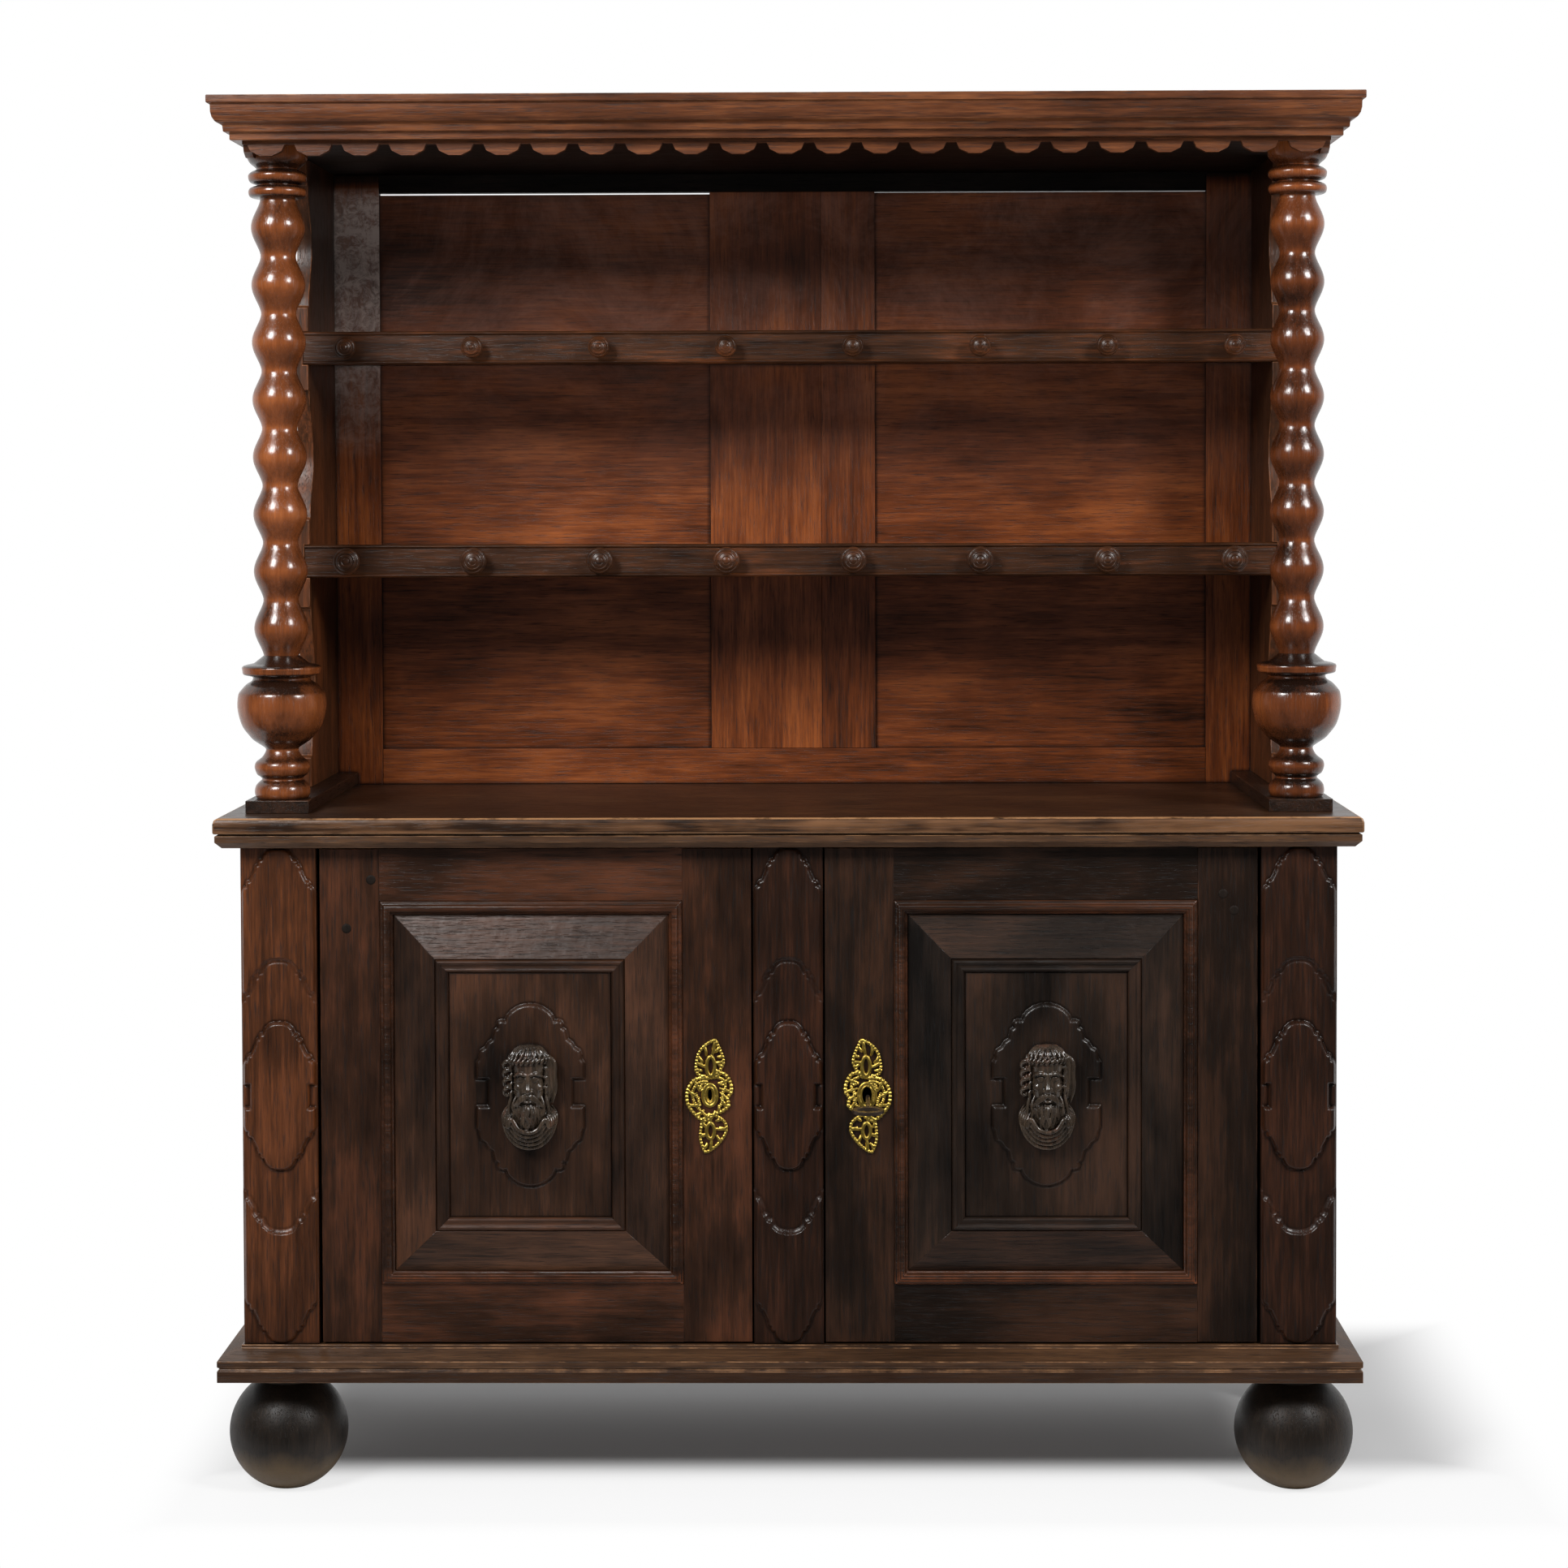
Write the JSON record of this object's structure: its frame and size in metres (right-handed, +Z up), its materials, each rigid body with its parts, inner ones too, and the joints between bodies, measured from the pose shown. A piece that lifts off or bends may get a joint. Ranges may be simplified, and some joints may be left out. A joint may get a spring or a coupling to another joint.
{
  "type": "plate cabinet",
  "caption": "Dark oak plate cabinet: open rack on turned posts under a cornice, above a cupboard with carved panelled doors, on ball feet in front.",
  "frame": {"origin": "centre of the base at floor level", "axes": "+X to the right seen from the front, +Y to the back, +Z up"},
  "size_m": [1.66, 0.6042, 2.036],
  "materials": {
    "case_oak": "dark waxed oak, satin",
    "rack_oak": "red-brown polished oak, satin",
    "counter_oak": "worn waxed oak, satin",
    "foot_oak": "ebonised oak, worn below",
    "mask_oak": "dark carved oak, satin",
    "brass": "polished",
    "iron": "aged, satin"
  },
  "bodies": {
    "cabinet": {"foot_front_left": "foot_oak", "foot_front_right": "foot_oak", "foot_rear_left": "foot_oak", "foot_rear_right": "foot_oak", "plinth_frame": "case_oak", "floor_board": "case_oak", "pilaster_left": "case_oak", "pilaster_right": "case_oak", "centre_post": "case_oak", "case_side_left": "case_oak", "case_side_right": "case_oak", "lower_back": "case_oak", "lower_shelf": "case_oak", "counter_frame": "counter_oak", "counter_top": "counter_oak", "sill_left": "rack_oak", "sill_right": "rack_oak", "turned_post_left": "rack_oak", "turned_post_right": "rack_oak", "rack_side_left": "rack_oak", "rack_side_right": "rack_oak", "shelf_lower": "rack_oak", "shelf_upper": "rack_oak", "plate_rail_lower": "rack_oak", "plate_rail_upper": "rack_oak", "back_stile_left": "rack_oak", "back_stile_right": "rack_oak", "back_panel_left": "rack_oak", "back_panel_right": "rack_oak", "back_muntin": "rack_oak", "back_bottom_rail": "rack_oak", "back_top_rail": "rack_oak", "top_board": "rack_oak", "cornice": "rack_oak", "apron": "rack_oak"},
    "left_door": {"door_hinge_stile_left": "case_oak", "door_lock_stile_left": "case_oak", "door_bottom_rail_left": "case_oak", "door_top_rail_left": "case_oak", "door_panel_left": "case_oak", "door_moulding_left": "case_oak", "door_mask_left": "mask_oak", "escutcheon_left": "brass", "lock_case_left": "iron", "hinge_pin_lower_left": "iron", "hinge_pin_upper_left": "iron"},
    "right_door": {"door_hinge_stile_right": "case_oak", "door_lock_stile_right": "case_oak", "door_bottom_rail_right": "case_oak", "door_top_rail_right": "case_oak", "door_panel_right": "case_oak", "door_moulding_right": "case_oak", "door_mask_right": "mask_oak", "escutcheon_right": "brass", "lock_case_right": "iron", "hinge_pin_lower_right": "iron", "hinge_pin_upper_right": "iron"},
    "left_bolt": {"lock_bolt_left": "iron"},
    "right_bolt": {"lock_bolt_right": "iron"},
    "key": {"key": "iron"}
  },
  "joints": [
    {"name": "left_door_hinge", "type": "hinge", "parent": "cabinet", "child": "left_door", "pos_m": [-0.651, -0.21289, 0.587], "axis": [0, 0, -1], "range_deg": [0, 110]},
    {"name": "right_door_hinge", "type": "hinge", "parent": "cabinet", "child": "right_door", "pos_m": [0.651, -0.21289, 0.587], "axis": [0, 0, 1], "range_deg": [0, 110]},
    {"name": "left_bolt_slide", "type": "slide", "parent": "left_door", "child": "left_bolt", "axis": [1, 0, 0], "range_m": [0, 0.014]},
    {"name": "right_bolt_slide", "type": "slide", "parent": "right_door", "child": "right_bolt", "axis": [-1, 0, 0], "range_m": [0, 0.014]},
    {"name": "key_turn", "type": "hinge", "parent": "right_door", "child": "key", "pos_m": [0.1155, -0.21289, 0.587], "axis": [0, -0.9903, -0.1392], "range_deg": [0, 180]}
  ],
  "couplings": [
    {"joint": "right_bolt_slide", "follows": "key_turn", "m_per_rad": 0.0044563}
  ]
}
